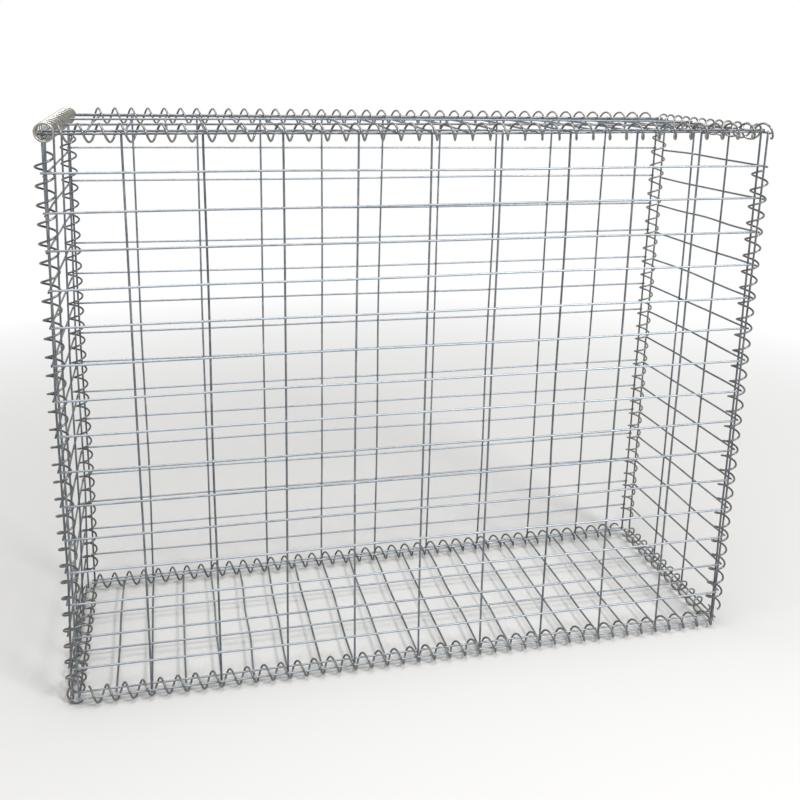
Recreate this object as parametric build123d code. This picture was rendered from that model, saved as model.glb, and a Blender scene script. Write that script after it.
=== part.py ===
from build123d import *
from collections import namedtuple
import os
from math import atan2, ceil, cos, floor, pi, sin, sqrt

os.makedirs("parts", exist_ok=True)

# A welded mesh gabion basket: six flat mesh panels laced together along their twelve edges
# by helical wire binders. X runs along its length, and Y through its depth, front to back.
# The origin is on the ground, in the middle of the footprint.

# Panels, between the centre lines of their outermost wires
basket_length = 1000.0
basket_depth = 300.0
basket_height = 800.0

# Mesh: the short side of a cell, and how many short sides its long side measures
cell_short = 50.0
cell_ratio = 2
mesh_wire = 3.0
wire_overhang = 4.0

# Binders: right-handed coils of round wire
binder_wire = 3.0
binder_inside = 20.0
turns_per_cell = 2
seat_clearance = 0.3
corner_clearance = 2.0

# Round wires are made as bars with few sides and the same section area, so the same weight
binder_sides = 3
corners_per_turn = 6

# Wire spacings, evened out over each panel
gaps_long = cell_ratio * round(basket_length / (cell_ratio * cell_short))
gaps_deep = cell_ratio * round(basket_depth / (cell_ratio * cell_short))
gaps_high = round(basket_height / cell_short)

# Sections: a square bar for mesh wire, and the circle round a binder's section
bar = mesh_wire * sqrt(pi) / 2
bar_reach = bar / sqrt(2)
binder_reach = binder_wire * sqrt(pi / (2 * binder_sides * sin(2 * pi / binder_sides)))

# A coil's corners stand out so that one turn is as long as a round one
coil_radius = (binder_inside + binder_wire) / 2
corner_radius = coil_radius * pi / (corners_per_turn * sin(pi / corners_per_turn))
mitre_reach = binder_reach / cos(pi / corners_per_turn)
outer_reach = corner_radius + mitre_reach

# Two edge wires lie inside a coil, on opposite sides of its middle line, so that the panels
# stand a little apart at every edge
seat_radius = corner_radius - mitre_reach - seat_clearance - bar_reach
spread = seat_radius * sqrt(2)
long_panel_y = basket_depth / 2 + spread
end_panel_x = basket_length / 2 + spread

# The cross wires of the base and the lid are level with the rows of the front and back
base_z = 0.0
long_panel_z = base_z - bar
end_panel_z = long_panel_z - bar
lid_z = base_z + basket_height

# Where the coils' middle lines cross at a corner. One coil runs through, up to the wires of
# the panel beyond, and the two others give way to it
corner_x = end_panel_x - (spread - bar) / 2
corner_y = long_panel_y - (spread - bar) / 2
corner_low_z = base_z - bar / 2
corner_high_z = lid_z - bar / 2
gives_way = outer_reach + bar + corner_clearance
runs_through = spread / 2 - bar - mitre_reach

X, Y, Z = 0, 1, 2
FRONT, BACK = -1, 1
LEFT, RIGHT = -1, 1
BASE, LID = -1, 1


def places(length, gaps):
    """Centre lines of evenly spaced wires, measured from the middle of their run."""
    return [length * (i / gaps - 0.5) for i in range(gaps + 1)]


def bars(along, across, run, positions, middle):
    """Parallel bars along one axis, spaced out across another."""
    made = []
    for position in positions:
        size = [bar, bar, bar]
        size[along] = run + 2 * wire_overhang
        centre = list(middle)
        centre[across] += position
        made.append(Pos(*centre) * Box(*size))
    return made


def long_panel(side):
    """The front or back: uprights, with the rows welded to their outer side."""
    z = long_panel_z + basket_height / 2
    y = side * long_panel_y
    uprights = places(basket_length, gaps_long // cell_ratio)
    rows = places(basket_height, gaps_high)
    wires = bars(Z, X, basket_height, uprights, (0, y, z))
    wires += bars(X, Z, basket_length, rows, (0, y + side * bar, z))
    return Part() + wires


def end_panel(side):
    """The left or right end, made as the front is."""
    z = end_panel_z + basket_height / 2
    x = side * end_panel_x
    uprights = places(basket_depth, gaps_deep // cell_ratio)
    rows = places(basket_height, gaps_high)
    wires = bars(Z, Y, basket_height, uprights, (x, 0, z))
    wires += bars(Y, Z, basket_depth, rows, (x + side * bar, 0, z))
    return Part() + wires


def flat_panel(z):
    """The base or lid: long wires on top of the cross wires."""
    long_wires = places(basket_depth, gaps_deep // cell_ratio)
    cross_wires = places(basket_length, gaps_long)
    wires = bars(X, Y, basket_length, long_wires, (0, 0, z))
    wires += bars(Y, X, basket_depth, cross_wires, (0, 0, z - bar))
    return Part() + wires


# One panel where a coil laces it. Places across the coil are given in the two axes that come
# after the coil's own: wire is the edge wire, layer is the plane of the panel's other wires,
# on axis number across, and inward is the way that they run from the edge wire on the other
# axis. First is the place of the first of them along the coil.
Margin = namedtuple("Margin", "wire across layer inward first")


def passing(margin, middle):
    """The angle at which a coil passes through the layer of a panel's other wires."""
    offset = margin.layer - middle[margin.across]
    inward = margin.inward * sqrt(coil_radius**2 - offset**2)
    return atan2(offset, inward) if margin.across else atan2(inward, offset)


def binder(along, margin_a, margin_b, spacing, start, end):
    """A coil round the edge wires of two panels, whose corners lie against both wires."""
    pitch = spacing / turns_per_cell
    middle = [(a + b) / 2 for a, b in zip(margin_a.wire, margin_b.wire)]
    seat = atan2(margin_a.wire[1] - middle[1], margin_a.wire[0] - middle[0])
    # It passes both panels at one distance from the middle of a gap between their wires
    phase_a = passing(margin_a, middle) - 2 * pi * margin_a.first / pitch
    phase_b = passing(margin_b, middle) - 2 * pi * margin_b.first / pitch
    between = phase_a + ((phase_b - phase_a + pi) % (2 * pi) - pi) / 2
    seat_place = pitch * ((seat - between) / (2 * pi) + 0.5)
    step = pitch / corners_per_turn
    points = []
    for k in range(ceil((start - seat_place) / step), floor((end - seat_place) / step) + 1):
        angle = seat + 2 * pi * k / corners_per_turn
        point = [0.0, 0.0, 0.0]
        point[along] = seat_place + step * k
        point[(along + 1) % 3] = middle[0] + corner_radius * cos(angle)
        point[(along + 2) % 3] = middle[1] + corner_radius * sin(angle)
        points.append(tuple(point))
    path = Polyline(*points)
    section = Plane(origin=path @ 0, z_dir=path % 0) * RegularPolygon(binder_reach, binder_sides)
    return sweep(section, path=path, transition=Transition.RIGHT)


def ends(corner, through):
    """The two ends of a coil that runs through one corner and stops short of the other."""
    return sorted((through * (corner + runs_through), -through * (corner - gives_way)))


def long_binder(side, level):
    """Laces the front or back to the base or lid. It runs through the corner on its left."""
    row_z = long_panel_z + (basket_height if level == LID else 0)
    flat_z = lid_z if level == LID else base_z
    upright = Margin((side * (long_panel_y + bar), row_z), 0, side * long_panel_y, -level, -basket_length / 2)
    flat = Margin((side * basket_depth / 2, flat_z), 1, flat_z - bar, -side, -basket_length / 2)
    start, end = ends(corner_x, -side)
    return binder(X, upright, flat, basket_length / gaps_long, start, end)


def short_binder(side, level):
    """Laces an end to the base or lid. It runs through the corner on its left."""
    row_z = end_panel_z + (basket_height if level == LID else 0)
    flat_z = lid_z if level == LID else base_z
    upright = Margin((row_z, side * (end_panel_x + bar)), 1, side * end_panel_x, -level, -basket_depth / 2)
    flat = Margin((flat_z - bar, side * basket_length / 2), 0, flat_z, -side, -basket_depth / 2)
    start, end = ends(corner_y, side)
    return binder(Y, upright, flat, basket_depth / gaps_deep, start, end)


def corner_binder(side_x, side_y):
    """Laces the front or back to an end. It stops short of the coils at both corners."""
    long_side = Margin(
        (side_x * basket_length / 2, side_y * long_panel_y),
        1,
        side_y * (long_panel_y + bar),
        -side_x,
        long_panel_z,
    )
    end_side = Margin(
        (side_x * end_panel_x, side_y * basket_depth / 2),
        0,
        side_x * (end_panel_x + bar),
        -side_y,
        end_panel_z,
    )
    start = corner_low_z + gives_way
    end = corner_high_z - bar - gives_way
    return binder(Z, long_side, end_side, basket_height / gaps_high, start, end)


pieces = {
    "front_panel": long_panel(FRONT),
    "back_panel": long_panel(BACK),
    "left_end_panel": end_panel(LEFT),
    "right_end_panel": end_panel(RIGHT),
    "base_panel": flat_panel(base_z),
    "lid_panel": flat_panel(lid_z),
    "front_bottom_binder": long_binder(FRONT, BASE),
    "front_top_binder": long_binder(FRONT, LID),
    "back_bottom_binder": long_binder(BACK, BASE),
    "back_top_binder": long_binder(BACK, LID),
    "left_bottom_binder": short_binder(LEFT, BASE),
    "left_top_binder": short_binder(LEFT, LID),
    "right_bottom_binder": short_binder(RIGHT, BASE),
    "right_top_binder": short_binder(RIGHT, LID),
    "front_left_binder": corner_binder(LEFT, FRONT),
    "front_right_binder": corner_binder(RIGHT, FRONT),
    "back_left_binder": corner_binder(LEFT, BACK),
    "back_right_binder": corner_binder(RIGHT, BACK),
}

# The underside of the lowest turns is the ground
ground = min(piece.bounding_box().min.Z for piece in pieces.values())
for name, piece in pieces.items():
    export_step(Pos(0, 0, -ground) * piece, f"parts/{name}.step")
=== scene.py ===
from collections import namedtuple
from math import atan2, ceil, pi, radians, sqrt

import bpy
import numpy as np
from mathutils import Matrix, Vector


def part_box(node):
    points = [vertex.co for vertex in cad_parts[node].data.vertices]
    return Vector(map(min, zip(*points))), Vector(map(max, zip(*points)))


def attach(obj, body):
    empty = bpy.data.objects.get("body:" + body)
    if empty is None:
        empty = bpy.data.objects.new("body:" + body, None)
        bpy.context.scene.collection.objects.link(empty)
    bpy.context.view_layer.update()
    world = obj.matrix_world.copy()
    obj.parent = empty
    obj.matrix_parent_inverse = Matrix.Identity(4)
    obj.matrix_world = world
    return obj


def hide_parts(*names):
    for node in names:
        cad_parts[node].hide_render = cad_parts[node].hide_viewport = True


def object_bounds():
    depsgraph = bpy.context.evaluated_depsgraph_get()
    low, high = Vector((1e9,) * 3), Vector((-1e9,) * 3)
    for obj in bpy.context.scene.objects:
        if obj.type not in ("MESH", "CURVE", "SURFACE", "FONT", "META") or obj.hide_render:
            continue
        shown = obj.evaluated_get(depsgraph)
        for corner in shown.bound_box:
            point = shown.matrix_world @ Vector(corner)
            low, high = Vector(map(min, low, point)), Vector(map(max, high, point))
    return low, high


# The looks of an empty gabion basket of galvanised wire. Lengths are in metres.
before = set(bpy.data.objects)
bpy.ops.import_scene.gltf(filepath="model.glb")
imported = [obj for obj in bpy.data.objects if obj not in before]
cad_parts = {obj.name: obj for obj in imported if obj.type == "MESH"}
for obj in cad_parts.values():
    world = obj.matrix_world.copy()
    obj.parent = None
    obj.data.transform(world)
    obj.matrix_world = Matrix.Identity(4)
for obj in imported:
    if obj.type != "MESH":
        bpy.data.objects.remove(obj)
cad_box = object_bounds()

X, Y, Z = 0, 1, 2
FRONT, BACK = -1, 1
LEFT, RIGHT = -1, 1
BASE, LID = -1, 1
MM = 0.001

# Mesh wires: two layers to a panel, which bite into each other at every weld
MESH_WIRE = 3.0 * MM
WIRE_OVERHANG = 4.0 * MM
CLOSE_SPACING = 50 * MM
WIDE_SPACING = 100 * MM

# Weld lumps: their reach along both wires and across the layers, how much they differ, and how
# far along a wire the heat of a weld has darkened the zinc
WELD_REACH = 2.15 * MM
WELD_HALF_DEPTH = 1.55 * MM
WELD_SIZES = 0.9, 1.12
WELD_UNEVENNESS = 0.1
HEAT_REACH = 5 * MM

# Sheared ends of wires: the length and radius of the rounded rim, and the most that a cut
# slants, as shares of the wire's radius
RIM_LENGTH = 0.12
RIM_RADIUS = 0.86
CUT_SLANT = 0.35

# Binders: right-handed coils, two turns to each short side of a cell. Those that lie flat hang
# a little on their wires
BINDER_WIRE = 3.0 * MM
COIL_RADIUS = 11.5 * MM
PITCH = CLOSE_SPACING / 2
COIL_DROP = 0.4 * MM

# How finely round wires and weld lumps are cut into faces
MESH_SIDES = 12
MESH_STEP = 10 * MM
COIL_SIDES = 10
STEPS_PER_TURN = 26
WELD_SIDES = 8
WELD_RINGS = 5

# Small departures from straight and flat, each a sum of a few waves
BOW = 2.4 * MM
RIPPLE = 0.5 * MM
RIPPLE_SLANT = 0.7
WANDER = 1.5 * MM
EDGE_WANDER = 0.6 * MM
COIL_WANDER = 0.4 * MM
COIL_SWELL = 0.15 * MM
PITCH_WANDER = 1.5 * MM
WAVES = 4

# The empty basket leans. These are the heights at which its lean changes, and the share of it
# that is reached at each
LEAN_HEIGHTS = 0.04, 0.2, 0.45, 0.83
LEAN_SHARES = 0, 0.33, 0.37, 1

# The whole lean of each piece, in millimetres along X, Y and Z, at the left of the basket and at
# its right
Settling = namedtuple("Settling", "left right")
STILL = (0, 0, 0)
SETTLING = {
    "front_panel": Settling(STILL, (0, 4, 0)),
    "back_panel": Settling((2, 0, 0), (5, 0, 0)),
    "left_end_panel": Settling((18, 0, -2.2), STILL),
    "right_end_panel": Settling(STILL, (2.5, 0, 0)),
    "lid_panel": Settling((4.6, 0, 0), (3, 1, 0)),
    "front_top_binder": Settling(STILL, (0, 2.3, 0)),
    "back_top_binder": Settling((0, 0, -0.4), (0, 0, -0.3)),
    "left_top_binder": Settling((15.6, 0, 4), STILL),
    "right_top_binder": Settling(STILL, (0.7, 0, 0)),
    "front_left_binder": Settling((11, 0, 0), STILL),
    "back_left_binder": Settling((11, 0, 0), STILL),
    "front_right_binder": Settling(STILL, (0, 2, 0)),
    "back_right_binder": Settling(STILL, (1.8, 0, 0)),
}

# How far some coils run on past the ends of their solids, or stop short of them, at the lower
# and the higher end
RUN_ON = {
    "left_top_binder": (15.5 * MM, 0),
    "front_top_binder": (-9 * MM, 13 * MM),
    "back_top_binder": (-46 * MM, 0),
    "front_right_binder": (0, -33 * MM),
}

# Turns that are closer or wider than the rest, and the lengths that they take up. One coil
# starts with a closed ring
FIRST_TURNS = {"left_top_binder": [(1, 3.3 * MM), (1.24, 18.6 * MM)]}
LAST_TURNS = {"front_top_binder": [(1, 31 * MM)]}

# How far along X the left and right edge wires of the front and back are drawn in at the top
EDGE_LEANS = 5 * MM, -3 * MM

# The top hangs lower along the front, above one height, and the back hangs lower on its right
FRONT_SAG = 4 * MM
SAG_HEIGHT = 0.7
BACK_SAG = 6 * MM

# How bright the zinc is, from 0 to 1, at random within a range. The wires along the basket are painted
# lighter, a painted highlight of light from above, except near its top, where they and all other wires
# are painted darker, a painted shade; one binder is painted lighter, a painted highlight
PAINTED_LIT_WIRE_SHADES = 0.6, 1.0
PAINTED_SHADED_WIRE_SHADES = 0.0, 0.35
PAINTED_SHADE_HEIGHT = 0.8
BINDER_SHADES = 0.0, 0.6
PAINTED_HIGHLIGHT_BINDER, PAINTED_HIGHLIGHT_SHADE = "left_top_binder", 1.0

# Marks in the zinc: how fine they are, and how far apart in them two wires may start
PATCH_SCALE = 75
BLOOM_SCALE = 28
GRAIN_SCALE = 260
CRYSTAL_SCALE = 420
SPECK_SCALE = 900
STREAK_STRETCH = 1600, 55, 1
START_RANGE = 50

# How metallic the zinc is, the tone about which its mottling varies, the tones between which its
# colour goes from dull to bright, and how much of it bloom and the heat of a weld can cover
METALLIC = 0.85
MIDDLE_TONE = 0.57
TONE_RANGE = 0.45, 1.45
BLOOM_COVER = 0.55
SCORCH_COVER = 0.6
RELIEF_STRENGTH = 0.5

# The floor is a pale square that fades to white over a stretch of distance from the middle
FLOOR_SIZE = 60.0
FLOOR_COLOUR = 0.78, 0.775, 0.76, 1
FLOOR_ROUGHNESS = 0.9
FADE_START, FADE_END = 0.7, 2.2

# Light: how strongly the white world lights the object, and the lamps, with their power in watts
WHITE = 1, 1, 1, 1
WORLD_LIGHT = 0.3
Lamp = namedtuple("Lamp", "place width height power")
LAMPS = {
    "overhead": Lamp(place=(-0.4, -0.4, 3.0), width=1.7, height=1.7, power=48),
    "key": Lamp(place=(1.5, -2.3, 2.6), width=0.9, height=0.6, power=80),
}
LAMP_AIM = 0, 0, 0.4

# Camera, fitted to the photograph: its place, its angles in degrees, and its lens in pixels
CAMERA_PLACE = -0.3451, -1.3965, 0.9066
CAMERA_HEADING = -12.883
CAMERA_DIP = 14.270
CAMERA_ROLL = 0.840
PICTURE_PIXELS = 800
FOCAL_PIXELS = 947.9
CENTRE_X, CENTRE_Y = 384.0, 300.1
SENSOR_WIDTH = 36

rng = np.random.default_rng(16)


# Round wires

WireMesh = namedtuple("WireMesh", "corners faces caps places shades heats")


def unit(vectors):
    """Vectors of the same directions, one metre long."""
    return vectors / np.linalg.norm(vectors, axis=-1, keepdims=True)


def skin(rings, sides):
    """Faces between rings of corners that follow each other, and a cap on the first and last."""
    ring = np.arange(rings - 1)[:, None] * sides
    here, following = np.arange(sides), (np.arange(sides) + 1) % sides
    faces = np.stack(
        [ring + here, ring + following, ring + sides + following, ring + sides + here], axis=-1
    )
    last = (rings - 1) * sides
    return faces.reshape(-1, 4), [list(range(sides))[::-1], list(range(last, last + sides))]


def tube(line, across, radius, sides, shade, heat):
    """A round wire along a line of points, with sheared ends. Its rings start across the line."""
    tangents = unit(np.gradient(line, axis=0))
    seconds = unit(np.cross(tangents, across))
    firsts = np.cross(seconds, tangents)
    steps = np.linalg.norm(np.diff(line, axis=0), axis=1)
    along = np.concatenate([[0], np.cumsum(steps)])

    # A rounded rim at each end, on a slightly slanting cut
    rim = RIM_LENGTH * radius
    line = np.concatenate([line[:1] - rim * tangents[:1], line, line[-1:] + rim * tangents[-1:]])
    tangents, firsts, seconds = (
        np.concatenate([v[:1], v, v[-1:]]) for v in (tangents, firsts, seconds)
    )
    along = np.concatenate([along[:1] - rim, along, along[-1:] + rim])
    heat = np.concatenate([heat[:1], heat, heat[-1:]])
    radii = np.full(len(line), radius)
    radii[[0, -1]] *= RIM_RADIUS

    turn = 2 * pi * np.arange(sides) / sides
    rings = firsts[:, None] * np.cos(turn)[:, None] + seconds[:, None] * np.sin(turn)[:, None]
    slants = rng.uniform(-CUT_SLANT, CUT_SLANT, 2)
    offsets = rings * radii[:, None, None]
    for end, slant in ((slice(0, 2), slants[0]), (slice(-2, None), slants[1])):
        offsets[end] += tangents[end, None] * (radius * slant * np.cos(turn))[:, None]
    corners = (line[:, None] + offsets).reshape(-1, 3)

    count = len(line)
    start = rng.uniform(0, START_RANGE)
    places = np.stack(
        [np.tile(radius * turn, count), np.repeat(along, sides), np.full(count * sides, start)],
        axis=-1,
    )
    shades = np.full(count * sides, shade)
    return WireMesh(corners, *skin(count, sides), places, shades, np.repeat(heat, sides))


def nugget(centre, radii, shade):
    """The lump where two wires are fused, a little uneven."""
    turn = 2 * pi * np.arange(WELD_SIDES) / WELD_SIDES
    tilt = pi * (np.arange(WELD_RINGS) + 0.5) / WELD_RINGS
    directions = np.stack(
        [
            np.outer(np.sin(tilt), np.cos(turn)),
            np.outer(np.sin(tilt), np.sin(turn)),
            np.outer(np.cos(tilt), np.ones(WELD_SIDES)),
        ],
        axis=-1,
    ).reshape(-1, 3)
    directions *= 1 + rng.uniform(-WELD_UNEVENNESS, WELD_UNEVENNESS, (len(directions), 1))
    corners = centre + directions * radii

    # Its rings run downward, so its faces turn the other way round
    faces, caps = skin(WELD_RINGS, WELD_SIDES)
    faces = np.roll(faces[:, ::-1], 1, axis=1)
    caps = [cap[::-1] for cap in caps]

    ones = np.ones(len(corners))
    start = rng.uniform(0, START_RANGE)
    places = np.stack([corners[:, X], corners[:, Z], start * ones], axis=-1)
    return WireMesh(corners, faces, caps, places, shade * ones, ones)


def leaning(z):
    """The share of the basket's lean that is reached at a height."""
    return np.interp(z, LEAN_HEIGHTS, LEAN_SHARES)


def settled(node, corners):
    """Corners moved with the piece as the basket leans and sags."""
    settling = SETTLING.get(node, Settling(STILL, STILL))
    low, high = np.array(cad_box)
    right, back, height = ((corners - low) / (high - low)).T
    shift = np.outer(1 - right, settling.left) + np.outer(right, settling.right)
    moved = corners + shift * MM * leaning(corners[:, Z])[:, None]
    near_top = np.clip((corners[:, Z] - SAG_HEIGHT) / (high[Z] - SAG_HEIGHT), 0, 1)
    moved[:, Z] -= FRONT_SAG * (1 - back) * near_top
    moved[:, Z] -= BACK_SAG * right * back * height
    return moved


def piece(name, parts, material, node):
    """One mesh object from many wires, standing for a solid of the frame."""
    corners = settled(node, np.concatenate([p.corners for p in parts]))
    starts = np.cumsum([0] + [len(p.corners) for p in parts[:-1]]).tolist()
    quads = np.concatenate([p.faces + start for p, start in zip(parts, starts)])
    caps = [[c + start for c in cap] for p, start in zip(parts, starts) for cap in p.caps]
    mesh = bpy.data.meshes.new(name)
    mesh.from_pydata(corners.tolist(), [], quads.tolist() + caps)
    smooth = np.arange(len(mesh.polygons)) < len(quads)
    mesh.polygons.foreach_set("use_smooth", smooth)
    for title, kind, key, values in (
        ("wire_place", "FLOAT_VECTOR", "vector", [p.places for p in parts]),
        ("shade", "FLOAT", "value", [p.shades for p in parts]),
        ("heat", "FLOAT", "value", [p.heats for p in parts]),
    ):
        attribute = mesh.attributes.new(title, kind, "POINT")
        attribute.data.foreach_set(key, np.concatenate(values).astype(np.float32).ravel())
    mesh.materials.append(material)
    made = bpy.data.objects.new(name, mesh)
    bpy.context.scene.collection.objects.link(made)
    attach(made, "root")
    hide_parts(node)
    return made


# Panels: the axis across the layers, the run of the wires in the lower layer, and the run of
# the close-set wires

Panel = namedtuple("Panel", "normal low_run close_run")
PANELS = {
    "front_panel": Panel(Y, X, X),
    "back_panel": Panel(Y, Z, X),
    "left_end_panel": Panel(X, Y, Y),
    "right_end_panel": Panel(X, Z, Y),
    "base_panel": Panel(Z, Y, Y),
    "lid_panel": Panel(Z, Y, Y),
}


def layers(node):
    """Middles of a panel's lower and upper layer of wires, along the axis across them."""
    normal = PANELS[node].normal
    low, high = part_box(node)
    quarter = (high[normal] - low[normal]) / 4
    return low[normal] + quarter, high[normal] - quarter


def edges(node, axis):
    """Centre lines of a panel's two outermost wires along one axis."""
    low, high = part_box(node)
    return low[axis] + WIRE_OVERHANG, high[axis] - WIRE_OVERHANG


def waves(amplitude, length):
    """A smooth random curve over a length, as a function of the place along it."""
    orders = np.arange(WAVES) + 1
    sizes = rng.uniform(-1, 1, WAVES) / orders
    sizes *= amplitude / np.sum(np.abs(sizes))
    phases = rng.uniform(0, 2 * pi, WAVES)
    return lambda s: np.sum(
        sizes * np.sin(pi * orders * np.asarray(s)[..., None] / length + phases), axis=-1
    )


def bowing(runs, reach):
    """How far a panel stands out of its plane, as a function of places along its two runs."""
    size = BOW * rng.uniform(-1, 1)
    ripple = waves(RIPPLE, 1)

    def bow(places):
        shares = []
        for run in runs:
            low, high = reach[run]
            shares.append(np.clip((places[run] - low) / (high - low), 0, 1))
        # It is held flat along its edges
        window = np.sin(pi * shares[0]) * np.sin(pi * shares[1])
        return window * (size + ripple(shares[0] + RIPPLE_SLANT * shares[1]))

    return bow


def leaning_waves(amplitude, length, lean):
    """The way that a wire wanders, and leans towards the top, along its run."""
    sway = waves(amplitude, length)
    return lambda s: sway(s) + lean * leaning(s)


def panel(node, material):
    """A welded mesh panel of round wires, a little bowed, with a lump at every weld."""
    shape = PANELS[node]
    runs = [shape.low_run, X + Y + Z - shape.normal - shape.low_run]
    reach = {run: edges(node, run) for run in runs}
    bow = bowing(runs, reach)
    across = np.eye(3)[shape.normal]
    edge_leans = EDGE_LEANS if shape.normal == Y else (0, 0)
    parts = []
    wires = {}
    for run, other, layer in zip(runs, runs[::-1], layers(node)):
        spacings = CLOSE_SPACING, WIDE_SPACING
        spacing, weld_gap = spacings if run == shape.close_run else spacings[::-1]
        low, high = reach[other]
        first_weld, last_weld = reach[run]
        start, end = first_weld - WIRE_OVERHANG, last_weld + WIRE_OVERHANG
        count = round((high - low) / spacing)
        wires[run] = []
        for i in range(count + 1):
            place = low + (high - low) * i / count
            at_edge = i in (0, count)
            lean = edge_leans[i > 0] if at_edge and run == Z else 0
            wander = leaning_waves(EDGE_WANDER if at_edge else WANDER, end - start, lean)
            wires[run].append((place, wander))

            # A row ends just past the edge wires, wherever these are drawn to
            drawn = [edge_lean * leaning(place) if run == X else 0 for edge_lean in edge_leans]
            s = np.linspace(start + drawn[0], end + drawn[1], ceil((end - start) / MESH_STEP))
            line = np.zeros((len(s), 3))
            line[:, run] = s
            line[:, other] = place + wander(s)
            line[:, shape.normal] = layer + bow({run: s, other: place})
            from_weld = np.abs((s - first_weld + weld_gap / 2) % weld_gap - weld_gap / 2)
            heat = np.exp(-((from_weld / HEAT_REACH) ** 2))
            # Rows along the basket below its top are painted lighter, a painted highlight; all other
            # wires are painted darker, a painted shade
            painted_lit = run == X and line[0, Z] < PAINTED_SHADE_HEIGHT
            shade = rng.uniform(*(PAINTED_LIT_WIRE_SHADES if painted_lit else PAINTED_SHADED_WIRE_SHADES))
            parts.append(tube(line, across, MESH_WIRE / 2, MESH_SIDES, shade, heat))

    middle = sum(layers(node)) / 2
    radii = np.where(across, WELD_HALF_DEPTH, WELD_REACH)
    for place_a, wander_a in wires[runs[0]]:
        for place_b, wander_b in wires[runs[1]]:
            centre = np.zeros(3)
            centre[runs[0]] = place_b + wander_b(place_a)
            centre[runs[1]] = place_a + wander_a(place_b)
            centre[shape.normal] = middle + bow({runs[0]: place_b, runs[1]: place_a})
            parts.append(nugget(centre, radii * rng.uniform(*WELD_SIZES), rng.uniform(0, 1)))
    return piece(node + "_wires", parts, material, node)


# A panel where a coil laces it. Places across the coil are given in the two axes that come after
# the coil's own: wire is the edge wire, layer is the plane of the panel's other wires, on axis
# number across, and inward is the way that they run from the edge wire on the other axis. First
# is the place of the first of them along the coil.

Margin = namedtuple("Margin", "wire across layer inward first")


def passing(margin, middle):
    """The angle at which a coil passes through the layer of a panel's other wires."""
    offset = margin.layer - middle[margin.across]
    inward = margin.inward * sqrt(COIL_RADIUS**2 - offset**2)
    return atan2(offset, inward) if margin.across else atan2(inward, offset)


def passing_both(margin_a, margin_b, middle):
    """The angle, at place 0, of a coil that passes both panels midway between their wires."""
    phase_a = passing(margin_a, middle) - 2 * pi * margin_a.first / PITCH
    phase_b = passing(margin_b, middle) - 2 * pi * margin_b.first / PITCH
    return phase_a + ((phase_b - phase_a + pi) % (2 * pi) - pi) / 2 + pi


def binder(node, axis, margin_a, margin_b, material):
    """A coil round the edge wires of two panels, with its turns midway between their wires."""
    middle = [(a + b) / 2 for a, b in zip(margin_a.wire, margin_b.wire)]
    low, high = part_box(node)
    before, after = RUN_ON.get(node, (0, 0))
    start, end = low[axis] + BINDER_WIRE / 2 - before, high[axis] - BINDER_WIRE / 2 + after

    # The turns at which its pitch changes, their places, and the place at every step of a turn
    first, last = FIRST_TURNS.get(node, []), LAST_TURNS.get(node, [])
    even = end - start - sum(length for _, length in first + last)
    turns, places = np.cumsum([(0, start), *first, (even / PITCH, even), *last], axis=0).T
    turn = np.linspace(0, turns[-1], ceil(turns[-1] * STEPS_PER_TURN))
    s = np.interp(turn, turns, places)

    second, third = (axis + 1) % 3, (axis + 2) % 3
    slip = waves(PITCH_WANDER, end - start)
    drift_a, drift_b = waves(COIL_WANDER, end - start), waves(COIL_WANDER, end - start)
    swell = waves(COIL_SWELL, end - start)
    from_even = turn - turns[len(first)] + (places[len(first)] + slip(s)) / PITCH
    angle = passing_both(margin_a, margin_b, middle) + 2 * pi * from_even
    outward = np.zeros((len(s), 3))
    outward[:, second], outward[:, third] = np.cos(angle), np.sin(angle)
    line = outward * (COIL_RADIUS + swell(s))[:, None]
    line[:, axis] = s
    line[:, second] += middle[0] + drift_a(s)
    line[:, third] += middle[1] + drift_b(s)
    if axis != Z:
        line[:, Z] -= COIL_DROP
    # One coil is painted lighter all over, a painted highlight
    shade = max(rng.uniform(*BINDER_SHADES), PAINTED_HIGHLIGHT_SHADE * (node == PAINTED_HIGHLIGHT_BINDER))
    made = tube(line, outward, BINDER_WIRE / 2, COIL_SIDES, shade, np.zeros(len(s)))
    return piece(node + "_coil", [made], material, node)


def outside_first(node):
    """The layer of a side panel's rows, which is the outer one, and the layer of its uprights."""
    pair = layers(node)
    return pair if sum(pair) < 0 else pair[::-1]


SIDE_NAMES = {FRONT: "front", BACK: "back"}
END_NAMES = {LEFT: "left", RIGHT: "right"}
FLAT_NAMES = {BASE: ("base_panel", "bottom"), LID: ("lid_panel", "top")}


def edge(node, axis, side):
    """The centre line of a panel's outermost wire on one side."""
    return edges(node, axis)[side > 0]


def long_binder(side, level, material):
    """Laces the front or back to the base or lid."""
    flat, word = FLAT_NAMES[level]
    upright = SIDE_NAMES[side] + "_panel"
    rows, uprights = outside_first(upright)
    cross, long = layers(flat)
    margin_a = Margin((rows, edge(upright, Z, level)), 0, uprights, -level, edge(upright, X, LEFT))
    margin_b = Margin((edge(flat, Y, side), long), 1, cross, -side, edge(flat, X, LEFT))
    return binder(f"{SIDE_NAMES[side]}_{word}_binder", X, margin_a, margin_b, material)


def short_binder(side, level, material):
    """Laces an end to the base or lid."""
    flat, word = FLAT_NAMES[level]
    upright = END_NAMES[side] + "_end_panel"
    rows, uprights = outside_first(upright)
    cross, long = layers(flat)
    margin_a = Margin((edge(upright, Z, level), rows), 1, uprights, -level, edge(upright, Y, FRONT))
    margin_b = Margin((cross, edge(flat, X, side)), 0, long, -side, edge(flat, Y, FRONT))
    return binder(f"{END_NAMES[side]}_{word}_binder", Y, margin_a, margin_b, material)


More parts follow.
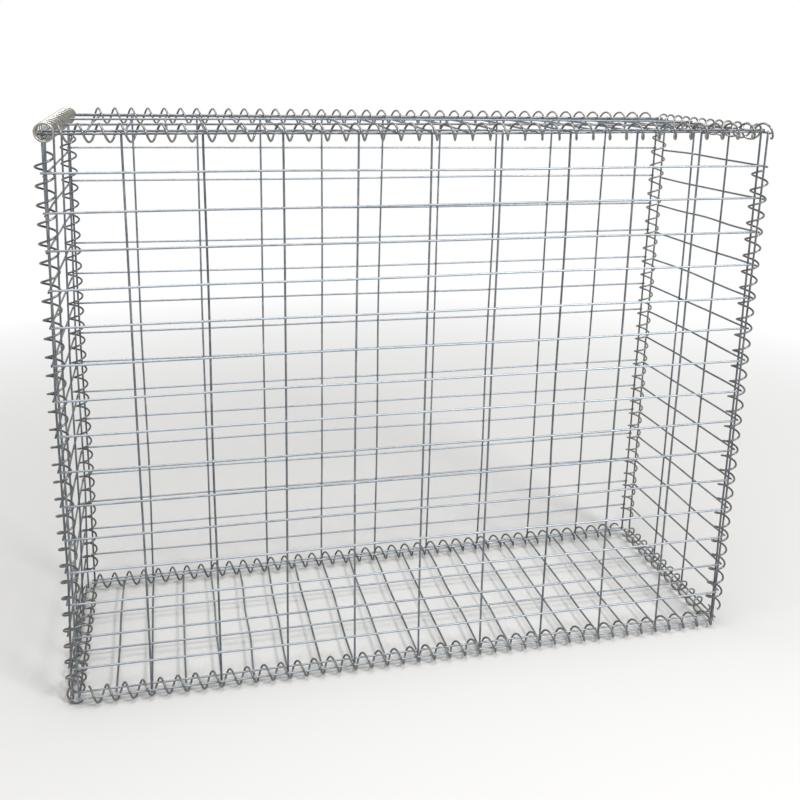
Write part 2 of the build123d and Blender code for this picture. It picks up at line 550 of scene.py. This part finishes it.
def corner_binder(side_x, side_y, material):
    """Laces the front or back to an end."""
    long, short = SIDE_NAMES[side_y] + "_panel", END_NAMES[side_x] + "_end_panel"
    rows, uprights = outside_first(long)
    end_rows, end_uprights = outside_first(short)
    margin_a = Margin((edge(long, X, side_x), uprights), 1, rows, -side_x, edge(long, Z, BASE))
    margin_b = Margin((end_uprights, edge(short, Y, side_y)), 0, end_rows, -side_y, edge(short, Z, BASE))
    return binder(f"{SIDE_NAMES[side_y]}_{END_NAMES[side_x]}_binder", Z, margin_a, margin_b, material)


# Materials


class Graph:
    """The nodes of one material or world, with short calls to add and join them."""

    def __init__(self, owner, shader):
        owner.use_nodes = True
        self.owner = owner
        self.tree = owner.node_tree
        self.shader = self.tree.nodes[shader]

    def node(self, kind, inputs=(), **settings):
        made = self.tree.nodes.new("ShaderNode" + kind)
        for key, value in settings.items():
            setattr(made, key, value)
        for key, value in dict(inputs).items():
            self.put(made.inputs[key], value)
        return made

    def put(self, socket, value):
        if isinstance(value, bpy.types.NodeSocket):
            self.tree.links.new(value, socket)
        else:
            socket.default_value = value

    def attribute(self, name, output="Fac"):
        return self.node("Attribute", attribute_name=name).outputs[output]

    def math(self, operation, a, b):
        return self.node("Math", {0: a, 1: b}, operation=operation).outputs[0]

    def add(self, total, *terms):
        """A value with others added to it, each times its weight."""
        for value, weight in terms:
            total = self.math("ADD", total, self.math("MULTIPLY", value, weight))
        return total

    def noise(self, vector, scale, detail, roughness=0.55):
        inputs = {"Vector": vector, "Scale": scale, "Detail": detail, "Roughness": roughness}
        return self.node("TexNoise", inputs).outputs["Fac"]

    def spread(self, value, low, high, to_low=0.0, to_high=1.0):
        inputs = {"Value": value, "From Min": low, "From Max": high, "To Min": to_low, "To Max": to_high}
        return self.node("MapRange", inputs).outputs["Result"]

    def mix(self, factor, a, b):
        # A mix of colours has its factor and its two colours at these places among its inputs
        made = self.node("Mix", data_type="RGBA")
        for place, value in ((0, factor), (6, a), (7, b)):
            self.put(made.inputs[place], value)
        return made.outputs[2]

    def seen(self):
        """1 for rays that show a thing, straight or in metal or glass, and 0 for those of light."""
        rays = self.node("LightPath").outputs
        shown = self.math("MAXIMUM", rays["Is Camera Ray"], rays["Is Glossy Ray"])
        return self.math("MAXIMUM", shown, rays["Is Transmission Ray"])


def zinc(name, dull, bright, bloom, scorch, roughness, mottle, relief_depth):
    """Galvanised wire: mottled zinc with drawn streaks, pale bloom and darker spots at welds."""
    g = Graph(bpy.data.materials.new(name), "Principled BSDF")
    g.put(g.shader.inputs["Metallic"], METALLIC)
    body = g.node("TexCoord").outputs["Object"]
    place = g.attribute("wire_place", "Vector")
    stretched = g.node("VectorMath", {0: place, 1: STREAK_STRETCH}, operation="MULTIPLY").outputs[0]

    patches = g.noise(body, PATCH_SCALE, detail=4)
    specks = g.noise(body, SPECK_SCALE, detail=2)
    streaks = g.noise(stretched, 1, detail=2)
    grain = g.noise(body, GRAIN_SCALE, detail=3)
    cloud = g.noise(body, BLOOM_SCALE, detail=5, roughness=0.65)
    crystals = g.node("TexVoronoi", {"Vector": body, "Scale": CRYSTAL_SCALE}).outputs["Color"]
    crystal = g.node("SeparateColor", {"Color": crystals}).outputs[0]

    # Bloom lies where its cloud is thick, and specks break up the dark spot at a weld
    bloom_share = g.spread(cloud, 0.56, 0.72, to_high=BLOOM_COVER)
    heat = g.math("MULTIPLY", g.attribute("heat"), g.spread(specks, 0.3, 0.7, to_low=0.45))

    # The weights say how much each kind of mark counts
    marks = g.add(g.math("MULTIPLY", patches, 0.7), (streaks, 0.3), (crystal, 0.15))
    mottling = g.math("MULTIPLY", g.math("SUBTRACT", marks, MIDDLE_TONE), mottle)
    tone = g.add(g.math("ADD", mottling, MIDDLE_TONE), (g.attribute("shade"), 0.7))
    colour = g.mix(g.spread(tone, *TONE_RANGE), dull, bright)
    colour = g.mix(bloom_share, colour, bloom)
    colour = g.mix(g.math("MULTIPLY", heat, SCORCH_COVER), colour, scorch)
    g.put(g.shader.inputs["Base Color"], colour)

    rough = g.spread(patches, 0.3, 0.7, to_low=roughness - 0.08, to_high=roughness + 0.1)
    rough = g.add(rough, (crystal, 0.1), (bloom_share, 0.35), (heat, 0.15))
    g.put(g.shader.inputs["Roughness"], rough)

    relief = g.add(g.math("MULTIPLY", streaks, 0.6), (specks, 0.5), (grain, 0.9))
    bump = g.node(
        "Bump", {"Strength": RELIEF_STRENGTH, "Distance": relief_depth, "Height": relief}
    )
    g.put(g.shader.inputs["Normal"], bump.outputs["Normal"])
    return g.owner


def pale_floor():
    """A pale, dull floor that fades to the white of the backdrop, and keeps its shadows."""
    g = Graph(bpy.data.materials.new("pale_floor"), "Principled BSDF")
    g.put(g.shader.inputs["Base Color"], FLOOR_COLOUR)
    g.put(g.shader.inputs["Roughness"], FLOOR_ROUGHNESS)
    white = g.node("Emission", {"Color": WHITE, "Strength": 1.0}).outputs[0]
    place = g.node("NewGeometry").outputs["Position"]
    from_middle = g.node("VectorMath", {0: place}, operation="LENGTH").outputs["Value"]
    fade = g.math("MULTIPLY", g.spread(from_middle, FADE_START, FADE_END), g.seen())
    blend = g.node("MixShader", {0: fade, 1: g.shader.outputs[0], 2: white})
    g.put(g.tree.nodes["Material Output"].inputs["Surface"], blend.outputs[0])
    return g.owner


mesh_zinc = zinc(
    "galvanised_mesh_wire",
    dull=(0.08, 0.088, 0.10, 1),
    bright=(0.38, 0.42, 0.46, 1),
    bloom=(0.46, 0.49, 0.51, 1),
    scorch=(0.06, 0.058, 0.055, 1),
    roughness=0.36,
    mottle=1.0,
    relief_depth=0.1 * MM,
)
binder_zinc = zinc(
    "galvanised_binder_wire",
    dull=(0.08, 0.08, 0.08, 1),
    bright=(0.36, 0.35, 0.32, 1),
    bloom=(0.38, 0.37, 0.34, 1),
    scorch=(0.1, 0.1, 0.1, 1),
    roughness=0.24,
    mottle=0.5,
    relief_depth=0.03 * MM,
)

# The basket

for name in PANELS:
    panel(name, mesh_zinc)
for level in (BASE, LID):
    for side in (FRONT, BACK):
        long_binder(side, level, binder_zinc)
    for side in (LEFT, RIGHT):
        short_binder(side, level, binder_zinc)
for side_x in (LEFT, RIGHT):
    for side_y in (FRONT, BACK):
        corner_binder(side_x, side_y, binder_zinc)

# Floor

scene = bpy.context.scene
half = FLOOR_SIZE / 2
floor_mesh = bpy.data.meshes.new("floor")
floor_mesh.from_pydata(
    [(-half, -half, 0), (half, -half, 0), (half, half, 0), (-half, half, 0)], [], [(0, 1, 2, 3)]
)
floor_mesh.materials.append(pale_floor())
floor = bpy.data.objects.new("floor", floor_mesh)
scene.collection.objects.link(floor)

# Studio light. The world is white where it is seen, and weaker where it lights the object

scene.view_settings.view_transform = "Standard"
studio = Graph(bpy.data.worlds.new("studio"), "Background")
studio.put(studio.shader.inputs["Color"], WHITE)
studio.put(studio.shader.inputs["Strength"], studio.spread(studio.seen(), 0, 1, WORLD_LIGHT, 1))
scene.world = studio.owner

for name, lamp in LAMPS.items():
    light = bpy.data.lights.new(name, "AREA")
    light.shape = "RECTANGLE"
    light.size, light.size_y = lamp.width, lamp.height
    light.energy = lamp.power
    softbox = bpy.data.objects.new(name, light)
    scene.collection.objects.link(softbox)
    softbox.location = lamp.place
    softbox.rotation_mode = "QUATERNION"
    softbox.rotation_quaternion = (Vector(LAMP_AIM) - Vector(lamp.place)).to_track_quat("-Z", "Y")

# Camera, at the photograph's place

camera_data = bpy.data.cameras.new("camera")
camera_data.sensor_width = SENSOR_WIDTH
camera_data.lens = SENSOR_WIDTH * FOCAL_PIXELS / PICTURE_PIXELS
camera_data.shift_x = 0.5 - CENTRE_X / PICTURE_PIXELS
camera_data.shift_y = CENTRE_Y / PICTURE_PIXELS - 0.5
camera = bpy.data.objects.new("camera", camera_data)
scene.collection.objects.link(camera)
heading = Matrix.Rotation(radians(CAMERA_HEADING), 4, "Z")
tip = Matrix.Rotation(radians(90 - CAMERA_DIP), 4, "X")
roll = Matrix.Rotation(radians(CAMERA_ROLL), 4, "Z")
camera.matrix_world = Matrix.Translation(CAMERA_PLACE) @ heading @ tip @ roll
scene.camera = camera
